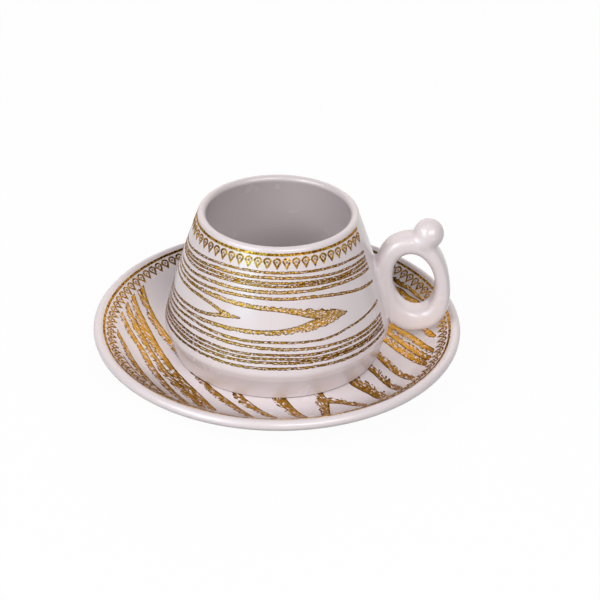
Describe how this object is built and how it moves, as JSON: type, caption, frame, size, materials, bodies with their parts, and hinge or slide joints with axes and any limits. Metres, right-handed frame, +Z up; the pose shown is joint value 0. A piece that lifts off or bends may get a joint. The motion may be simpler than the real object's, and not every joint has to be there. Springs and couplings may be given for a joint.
{
  "type": "coffee cup and saucer",
  "caption": "Small conical ceramic coffee cup with an oval ring handle and ball thumb rest, standing in a dished saucer, both printed in gold with drop borders and wood grain.",
  "frame": {"origin": "centre of the saucer's foot ring, on the surface that it stands on", "axes": "+Z up along the axis of the cup and saucer, +X towards the handle"},
  "size_m": [0.126, 0.126, 0.0571],
  "materials": {
    "glaze": "gloss",
    "gold": "bright"
  },
  "bodies": {
    "saucer": {"saucer": "glaze", "saucer_gold_line": "gold", "saucer_drop_border": "gold"},
    "cup": {"cup_body": "glaze", "cup_handle": "glaze", "cup_gold_line": "gold", "cup_drop_border": "gold"}
  },
  "joints": [
    {"name": "cup_lift", "type": "slide", "parent": "saucer", "child": "cup", "axis": [0, 0, 1], "range_m": [0, 0.08]}
  ]
}
